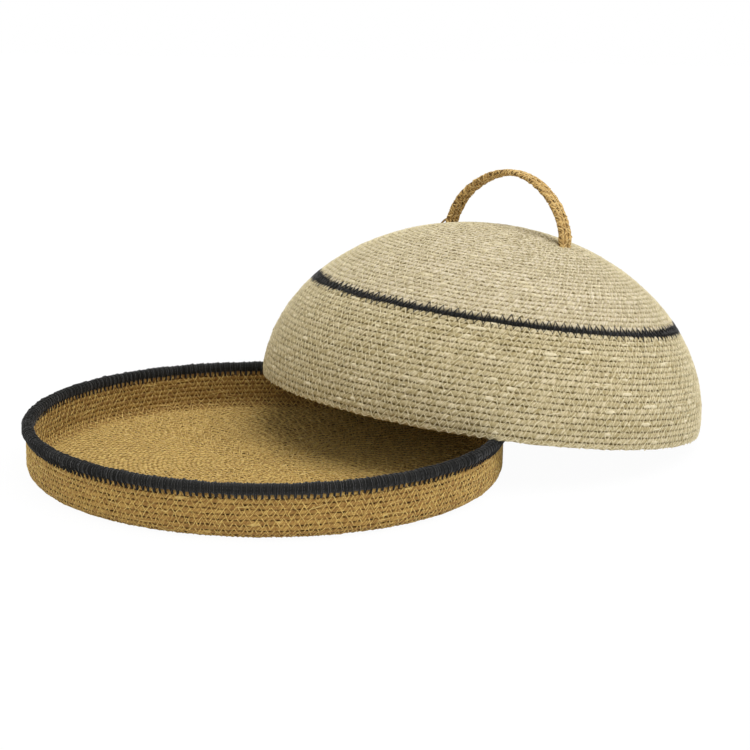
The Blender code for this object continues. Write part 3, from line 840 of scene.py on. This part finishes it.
def strap_end(side):
    """The fold under the crown and the tail inside it, from one foot of the strap inwards."""
    foot_x = HANDLE_HALF_SPAN + side * HANDLE_OFF_CENTRE
    under = -(COVER_THICKNESS + HANDLE_CORD) / 2 - HANDLE_TAIL_SEAT
    inner, before = [cover.in_plane(foot_along(side) - back, under)[:2] for back in (0.0, HANDLE_TAIL)]
    slope = math.atan2(before[1] - inner[1], inner[0] - before[0])
    corner_height = inner[1] - (foot_x - inner[0]) * math.tan(slope)
    reach = HANDLE_FOLD / math.tan(math.radians(45.0) - slope / 2)
    fold = np.linspace(0, math.radians(90.0) + slope, FOLD_POINTS)
    bent = np.column_stack([foot_x - HANDLE_FOLD + np.cos(fold) * HANDLE_FOLD,
                            corner_height + reach - np.sin(fold) * HANDLE_FOLD])
    tail = [cover.in_plane(foot_along(side) - HANDLE_TAIL * share, under)[:2]
            for share in TAIL_SHARES]
    return np.concatenate([bent, tail]) * [side, 1]


def strap_line():
    """The strap from the end of one tail to the end of the other, in the plane of the handle."""
    right, left = [cover.in_plane(foot_along(side), half)[1] for side in (1, -1)]
    power = 1 / HANDLE_ROUNDNESS_SHARE
    turn = np.linspace(0, math.pi, ARCH_POINTS)
    across = np.sign(np.cos(turn)) * np.abs(np.cos(turn)) ** power
    base = (right + left) / 2 + across * (right - left) / 2
    arch = np.column_stack([across * HANDLE_HALF_SPAN + HANDLE_OFF_CENTRE,
                            base + np.sin(turn) ** power * HANDLE_RISE])
    return np.concatenate([strap_end(1)[::-1], arch, strap_end(-1)])


def evenly(line, step):
    """The same line with its points at even distances, and those distances."""
    along = lengths_of(line)
    marks = np.linspace(0, along[-1], int(along[-1] / step))
    return np.column_stack([np.interp(marks, along, line[:, i]) for i in (0, 1)]), marks


strap_points, strap_marks = evenly(strap_line(), HANDLE_STEP)
strap_way = np.gradient(strap_points, strap_marks, axis=0)
strap_way /= np.linalg.norm(strap_way, axis=1)[:, None]
strap_normal = np.column_stack([strap_way[:, 1], -strap_way[:, 0]])
print("each cord of the strap is", round(strap_marks[-1] / MM), "mm long")

# %% The three cords
STRAP_SWELL_SHARE = 1.3  # the strap is handled, and swells more than the other cords
CORD_SHIFT = 300 * MM    # along the waves, so that the three cords differ
turn_handle = np.array(lie @ Matrix.Rotation(HANDLE_YAW, 4, "Z"))
strap_waver = waves([9 * MM, 21 * MM, 37 * MM], 0.18 * MM)


def on_strap(marks, beside, out):
    """Points of the strap: along it, sideways from its middle, and out of its face."""
    x, z = [np.interp(marks, strap_marks, strap_points[:, i]) for i in (0, 1)]
    side, up = [np.interp(marks, strap_marks, strap_normal[:, i]) for i in (0, 1)]
    local = np.column_stack([x + side * out, np.broadcast_to(beside, x.shape), z + up * out])
    return local @ turn_handle[:3, :3].T + turn_handle[:3, 3]


handle = []
for number, name in enumerate(("near", "middle", "far")):
    lane = (number - 1) * LANE
    own = number * CORD_SHIFT
    points = on_strap(strap_marks, lane + strap_waver(strap_marks + own),
                      strap_waver(strap_marks + 2 * own))
    facing = on_strap(strap_marks, lane, HANDLE_CORD) - on_strap(strap_marks, lane, 0)
    facing /= np.linalg.norm(facing, axis=1)[:, None]
    shares = 1 + swell(strap_marks + own) * STRAP_SWELL_SHARE
    piece = tube("handle_strap_cord_" + name, [(points, shares)], HANDLE_CORD, ROUND_BEVEL, strap)
    map_cord(piece, points, facing, strap_marks[-1], flatness=STRAP_FLATNESS)
    handle.append(piece)

# %% The seams of the strap
STRAP_STITCH = 4.4 * MM
STRAP_REACH_SHARE = 0.72  # of a cord, from the seam to a needle hole
STRAP_UNEVEN_REACH = 0.12
seams = []
strap_top = HANDLE_CORD * STRAP_FLATNESS / 2
for side in (-1, 1):
    for face in (-1, 1):
        lane = side * LANE / 2

        def place(marks, beside, top, lane=lane, face=face):
            return on_strap(marks, lane + beside, top * face)

        marks = stitch_marks(HANDLE_FOLD, strap_marks[-1] - HANDLE_FOLD, STRAP_STITCH, LEAN * side)
        reach = HANDLE_CORD * STRAP_REACH_SHARE
        points = zigzag(place, marks, reach, reach, strap_top, uneven=STRAP_UNEVEN_REACH)
        seams.append((points, 1.0))
print("the strap has", sum(len(points) // 2 for points, shares in seams), "stitches on its faces")

# %% The thread round the two edges of the strap
EDGE_STITCH = 5.6 * MM
EDGE_STRAY = 0.15 * MM
STRAP_THREAD = 1.0 * MM  # diameter
round_edge = np.radians([130, 75, 25, -25, -75, -130])
for side in (-1, 1):
    for number, mark in enumerate(stitch_marks(HANDLE_FOLD, strap_marks[-1] - HANDLE_FOLD, EDGE_STITCH)):
        bend = round_edge if number % 2 else -round_edge
        marks = mark + np.linspace(0, EDGE_STITCH, len(bend)) + rng.normal(0, EDGE_STRAY, len(bend))
        beside = LANE + np.cos(bend) * HANDLE_CORD / 2
        points = on_strap(marks, side * beside, np.sin(bend) * strap_top)
        seams.append((points, 1.0))
strap_thread = tube("handle_strap_stitches", seams, STRAP_THREAD, THREAD_BEVEL, strap_thread_colour)

# %% [markdown]
# Loose blades
#
# Here and there a pale blade comes to the top of the cord, bulges like a grain of rice and goes under
# again. Longer thin ones lie across a row or two, where a blade has split from the cord. They catch
# the light and are most of what the eye sees as grass. Each is a short spline that thins at its ends.

# %% Grains and slivers
BLADE_SHAPE = np.array([0.15, 0.85, 1.0, 0.75, 0.15])
BLADE_SIZES = (0.65, 1.2)  # the thinnest and the thickest, as shares of the usual
BLADE_BESIDE_SHARE = 0.25  # of a row, by which a blade may lie beside the middle of its row
BLADE_DIP = 0.35 * MM      # how much deeper its ends lie


def scatter(material, wall, name, first, last, outside, count, thickness, slant, lengths, sunk):
    """Short blades on a stretch of wall, along the rows or at a slant across them."""
    runs = []
    start, end = wall.cord_length(first), wall.cord_length(last)
    share = np.linspace(-0.5, 0.5, len(BLADE_SHAPE))
    for _ in range(count):
        long = rng.uniform(*lengths)
        cord = rng.uniform(start, end) + share * long
        turns = wall.turns_at(cord)
        beside = rng.uniform(-BLADE_BESIDE_SHARE, BLADE_BESIDE_SHARE) * wall.row
        beside = beside + share * long * rng.normal(0, slant)
        top = wall.top - sunk - BLADE_DIP * (share * 2) ** 2
        out = wander_out(cord) + top * (1 if outside else -1)
        points = wall.at(turns, wall.row_centre(turns) + beside, out)[0]
        runs.append((points, BLADE_SHAPE * rng.uniform(*BLADE_SIZES)))
    return tube(name, runs, thickness, BLADE_BEVEL, material)


# the shortest and the longest, and how far the middle lies under the top of the row
GRAIN = ((7 * MM, 17 * MM), 1.35 * MM)
SLIVER = ((9 * MM, 20 * MM), -0.10 * MM)
# name, first and last turn, outside, how many, thickness, slant, and the kind
COVER_BLADES = (
    ("cover_crown_grains", 3, BLACK_TURN, True, 260, 3.6 * MM, 0.03, *GRAIN),
    ("cover_skirt_grains", BLACK_TURN + 1, cover.end - 1, True, 420, 3.6 * MM, 0.03, *GRAIN),
    ("cover_crown_slivers", 5, BLACK_TURN - 2, True, 14, 0.8 * MM, 0.16, *SLIVER),
    ("cover_skirt_slivers", BLACK_TURN + 3, cover.end - 1, True, 30, 0.8 * MM, 0.16, *SLIVER))
TRAY_BLADES = (
    ("tray_floor_grains", 3, FLAT_TURNS, False, 160, 3.3 * MM, 0.04, *GRAIN),
    ("tray_wall_grains_outside", FLAT_TURNS, tray.end - 1, True, 80, 3.4 * MM, 0.04, *GRAIN),
    ("tray_wall_slivers_outside", FLAT_TURNS, tray.end - 1, True, 60, 0.9 * MM, 0.14, *SLIVER),
    ("tray_wall_slivers_inside", FLAT_TURNS, tray.end - 1, False, 50, 0.9 * MM, 0.14, *SLIVER))
cover_blades = [scatter(pale_blade, cover, *row) for row in COVER_BLADES]
tray_blades = [scatter(straw_blade, tray, *row) for row in TRAY_BLADES]

# %% A loose end of grass beside the far foot of the handle
SPRIG_LINE = np.array([(-67.0, 0.0, 140.5), (-64.0, 0.5, 143.8), (-60.5, 1.2, 146.8),
                       (-57.5, 2.0, 145.5)]) * MM
SPRIG_SHAPE = (0.6, 1.0, 1.0, 0.7)
SPRIG_THICKNESS = 2.0 * MM
SPRIG_LENGTH = 12 * MM
sprig_points = SPRIG_LINE @ turn_handle[:3, :3].T + turn_handle[:3, 3]
sprig = tube("handle_loose_end", [(sprig_points, SPRIG_SHAPE)], SPRIG_THICKNESS, BLADE_BEVEL, strap)
map_cord(sprig, sprig_points, np.tile(turn_handle[:3, 2], (len(SPRIG_LINE), 1)), SPRIG_LENGTH)

# %% [markdown]
# What stands for what
#
# Each dressed piece rides on the body of the imported model that it belongs to, and the plain
# solid it replaces is hidden. Thread and blades replace nothing: they lie on what they sew.

# %% Riding and replacing
for piece, body, node, slot in (
        (tray_floor, "tray", "tray_floor", "brown_grass"),
        (tray_wall, "tray", "tray_wall", "brown_grass"),
        (rim, "tray", "tray_rim_cord", "black_grass"),
        (cover_crown, "cover", "cover_crown", "natural_grass"),
        (cover_row, "cover", "cover_band_cord", "black_grass"),
        (cover_skirt, "cover", "cover_skirt", "natural_grass"),
        (handle[0], "cover", "handle_cord_near", "handle_grass"),
        (handle[1], "cover", "handle_cord_middle", "handle_grass"),
        (handle[2], "cover", "handle_cord_far", "handle_grass")):
    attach(piece, body)
    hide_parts(node)
for body, slot, pieces in (
        ("tray", "brown_grass", tray_stitches + tray_blades + [tray_knot]),
        ("tray", "black_grass", [rim_thread]),
        ("cover", "natural_grass", cover_stitches + cover_blades + [cover_knot]),
        ("cover", "black_grass", row_stitches),
        ("cover", "handle_grass", [strap_thread, sprig])):
    for piece in pieces:
        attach(piece, body)

# %% [markdown]
# Floor, light and camera
#
# The object lies on a white table in soft light that comes mostly from above and a little from the
# right. A large soft sun and an even sky do that, and a weak, warm, low light from the left stands
# for the pale wall that brightens the left edges of the rim and the cover. To the camera the table
# is a little brighter than it is to the object, so it looks white and still keeps a faint shadow.

# %% The white table
TABLE_REACH = 4.0      # metres, from the middle to each edge
TABLE_DROP = 0.8 * MM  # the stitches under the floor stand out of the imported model
GLOW_SHARE = 0.965     # of the table, which looks plain white to the camera


def to_the_eye(tree):
    """1 for rays from the camera, also by way of a mirror or of glass, and 0 for the others."""
    rays = add(tree, "LightPath", {}).outputs
    seen = add(tree, "Math", {0: rays["Is Camera Ray"], 1: rays["Is Glossy Ray"]}, operation="MAXIMUM")
    return add(tree, "Math", {0: seen.outputs[0], 1: rays["Is Transmission Ray"]},
               operation="MAXIMUM").outputs[0]


table = bpy.data.meshes.new("table")
sheet = bmesh.new()
bmesh.ops.create_grid(sheet, x_segments=1, y_segments=1, size=TABLE_REACH)
bmesh.ops.translate(sheet, verts=sheet.verts, vec=(0.0, 0.0, -TABLE_DROP))
sheet.to_mesh(table)
sheet.free()
floor = placed("table", table)

table_white, tree, surface = new_material("matt_white_table", roughness=1.0, gloss=0.0)
surface.inputs["Base Color"].default_value = linear("#FAFAF8")
veil = add(tree, "Math", {0: to_the_eye(tree), 1: GLOW_SHARE}, operation="MULTIPLY").outputs[0]
glow = add(tree, "Emission", {"Color": linear("#FFFFFF"), "Strength": 1.0}).outputs[0]
mixed = add(tree, "MixShader", {0: veil, 1: surface.outputs[0], 2: glow})
tree.links.new(mixed.outputs[0], tree.nodes["Material Output"].inputs["Surface"])
table.materials.append(table_white)
print("the table lies", TABLE_DROP / MM, "mm under the packed model")

# %% The light
SKY = 0.57                       # its light on the object, when the camera sees it as 1
SUN_SPREAD = math.radians(60.0)  # so wide that shadows have no edge
# name, strength, tint, and height and bearing in degrees
LIGHTS = (("soft_light", 2.6, (1.0, 1.0, 1.04), 66.0, -35.0),
          ("left_light", 0.4, (1.0, 0.9, 0.6), 16.0, 190.0))
world = bpy.data.worlds.new("studio")
bpy.context.scene.world = world
world.use_nodes = True
tree = world.node_tree
level = add(tree, "MapRange", {0: to_the_eye(tree), 3: SKY, 4: 1.0}).outputs[0]
tree.links.new(level, tree.nodes["Background"].inputs["Strength"])
tree.nodes["Background"].inputs["Color"].default_value = linear("#FFFFFF")

for name, strength, tint, height, bearing in LIGHTS:
    sun = bpy.data.lights.new(name, "SUN")
    sun.energy = strength
    sun.color = tint
    sun.angle = SUN_SPREAD
    placed(name, sun).rotation_euler = (0.0, math.radians(90.0 - height), math.radians(bearing))
    print(name, "comes from", height, "degrees above the table")

# %% The camera
CAMERA_PLACE = (85.262 * MM, -1519.649 * MM, 443.899 * MM)
CAMERA_DOWN = 0.2370     # radians below level
CAMERA_ROLL = 0.0180     # radians
FOCAL_PIXELS = 1991.948  # focal length for a picture 750 pixels wide
PICTURE = 750
camera = bpy.data.cameras.new("camera")
camera.sensor_width = 36.0
camera.lens = FOCAL_PIXELS / PICTURE * camera.sensor_width
camera_object = placed("camera", camera)
aim = Matrix.Rotation(math.radians(90.0) - CAMERA_DOWN, 4, "X") @ Matrix.Rotation(CAMERA_ROLL, 4, "Z")
camera_object.matrix_world = Matrix.Translation(CAMERA_PLACE) @ aim
bpy.context.scene.camera = camera_object
bpy.context.scene.view_settings.view_transform = "Standard"
print("the lens is", round(camera.lens), "mm long")
